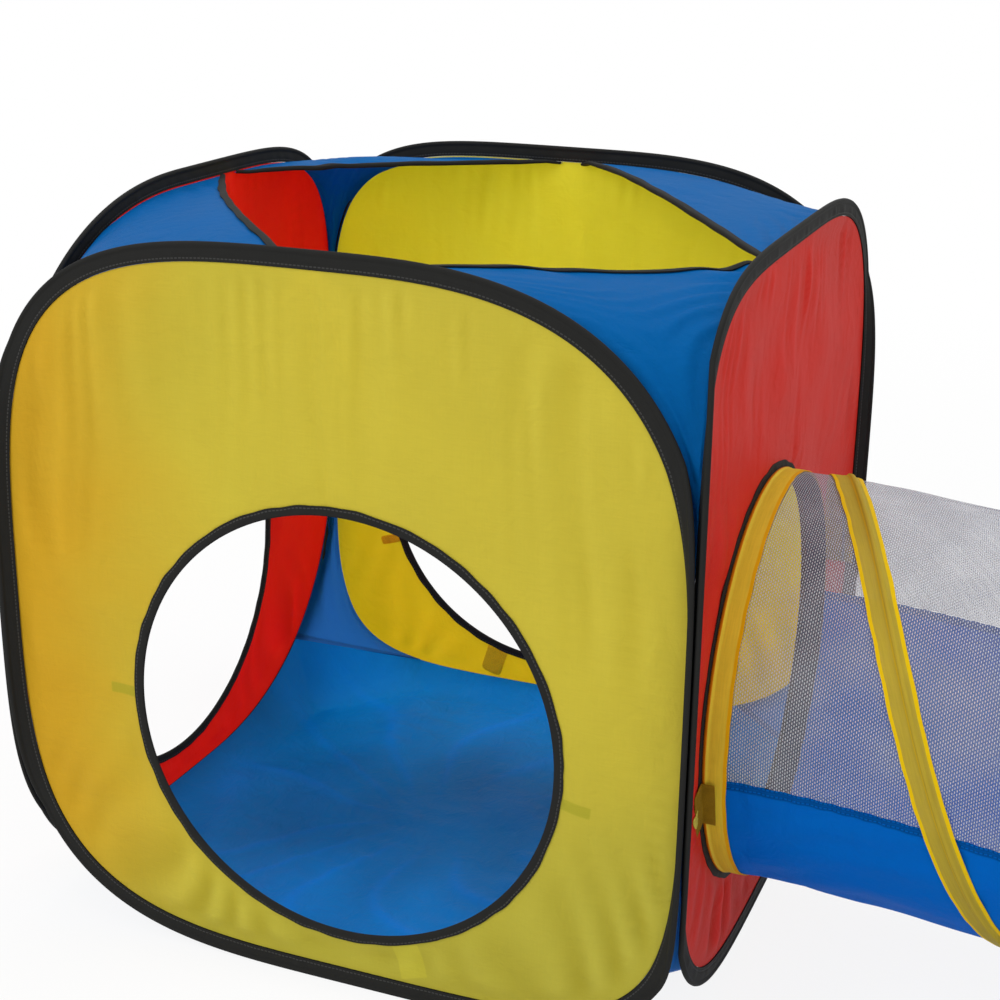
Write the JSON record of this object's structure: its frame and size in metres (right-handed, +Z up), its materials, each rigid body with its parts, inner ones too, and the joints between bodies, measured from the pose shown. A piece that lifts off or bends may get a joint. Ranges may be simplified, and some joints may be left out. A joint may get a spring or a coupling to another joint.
{
  "type": "pop-up play tent with crawl tunnel",
  "caption": "Cube-shaped fabric play tent on racked spring-wire hoops, round crawl openings in its walls, open-topped roof, and a spiral-wire crawl tunnel on one side.",
  "frame": {"origin": "on the ground under the middle of the cube, on the underside of the floor sheet", "axes": "+Z up, +X along the tunnel away from the cube, -Y out of the front panel"},
  "size_m": [1.9477, 0.7643, 0.77],
  "materials": {
    "yellow_fabric": "thin woven polyester, faint sheen",
    "red_fabric": "thin woven polyester, faint sheen",
    "blue_fabric": "thin woven polyester, faint sheen",
    "black_tape": "matte woven tape",
    "yellow_tape": "thin woven polyester, double layer",
    "netting": "open white polyester net",
    "spring_steel": "bright drawn wire",
    "hook_and_loop": "looped pile",
    "dark_hook_and_loop": "looped pile"
  },
  "bodies": {
    "front": {"front_panel_skin": "yellow_fabric", "front_hoop_sleeve": "black_tape", "front_hoop_wire": "spring_steel", "front_opening_binding": "black_tape", "front_tab_three_oclock": "hook_and_loop", "front_tab_nine_oclock": "hook_and_loop", "front_foot_tab": "hook_and_loop", "roof_gusset_front_right": "blue_fabric", "roof_edge_tape_front_right": "black_tape", "floor_gusset_front_right": "blue_fabric", "roof_gusset_left_front": "blue_fabric", "roof_edge_tape_left_front": "black_tape", "floor_gusset_left_front": "blue_fabric", "floor_sheet": "blue_fabric"},
    "right": {"right_panel_skin": "red_fabric", "right_hoop_sleeve": "black_tape", "right_hoop_wire": "spring_steel", "right_opening_binding": "black_tape", "right_tab_three_oclock": "hook_and_loop", "right_tab_nine_oclock": "hook_and_loop"},
    "left": {"left_panel_skin": "red_fabric", "left_hoop_sleeve": "black_tape", "left_hoop_wire": "spring_steel", "left_opening_binding": "black_tape", "left_tab_three_oclock": "hook_and_loop", "left_tab_nine_oclock": "hook_and_loop"},
    "back": {"back_panel_skin": "yellow_fabric", "back_hoop_sleeve": "black_tape", "back_hoop_wire": "spring_steel", "back_opening_binding": "black_tape", "back_tab_three_oclock": "hook_and_loop", "back_tab_nine_oclock": "hook_and_loop", "back_foot_tab": "hook_and_loop", "roof_gusset_right_back": "blue_fabric", "roof_edge_tape_right_back": "black_tape", "floor_gusset_right_back": "blue_fabric", "roof_gusset_back_left": "blue_fabric", "roof_edge_tape_back_left": "black_tape", "floor_gusset_back_left": "blue_fabric"},
    "tunnel_near": {"tunnel_near_ring_casing": "yellow_tape", "tunnel_near_ring_wire": "spring_steel", "tunnel_coil_casing": "yellow_tape", "tunnel_coil_wire": "spring_steel", "tunnel_lower_fabric": "blue_fabric", "tunnel_upper_net": "netting", "tie_strap_near_side": "dark_hook_and_loop", "tie_strap_far_side": "dark_hook_and_loop"},
    "tunnel_far": {"tunnel_far_ring_casing": "yellow_tape", "tunnel_far_ring_wire": "spring_steel"}
  },
  "joints": [
    {"name": "right_fold", "type": "hinge", "parent": "front", "child": "right", "pos_m": [0.3645, -0.3645, 0], "axis": [0, 0, 1], "range_deg": [0, 80], "stiffness_Nm_per_rad": 3, "springref_deg": -11.46, "deforming": ["floor_sheet", "roof_gusset_front_right", "roof_gusset_right_back", "roof_gusset_back_left", "roof_gusset_left_front", "roof_edge_tape_front_right", "roof_edge_tape_right_back", "roof_edge_tape_back_left", "roof_edge_tape_left_front", "floor_gusset_front_right", "floor_gusset_right_back", "floor_gusset_back_left", "floor_gusset_left_front"]},
    {"name": "left_fold", "type": "hinge", "parent": "front", "child": "left", "pos_m": [-0.37914, -0.37914, 0], "axis": [0, 0, 1], "range_deg": [0, 80]},
    {"name": "back_fold", "type": "hinge", "parent": "right", "child": "back", "pos_m": [0.37914, 0.37914, 0], "axis": [0, 0, 1], "range_deg": [-80, 0]},
    {"name": "tunnel_detach", "type": "slide", "parent": "right", "child": "tunnel_near", "axis": [1, 0, 0], "range_m": [0, 0.1]},
    {"name": "tunnel_collapse", "type": "slide", "parent": "tunnel_near", "child": "tunnel_far", "axis": [1, 0, 0], "range_m": [-1.1, 0], "stiffness_N_per_m": 20, "springref_m": 0.15, "deforming": ["tunnel_coil_casing", "tunnel_coil_wire", "tunnel_lower_fabric", "tunnel_upper_net"]}
  ],
  "couplings": [
    {"joint": "left_fold", "follows": "right_fold", "ratio": 1},
    {"joint": "back_fold", "follows": "right_fold", "ratio": -1}
  ]
}
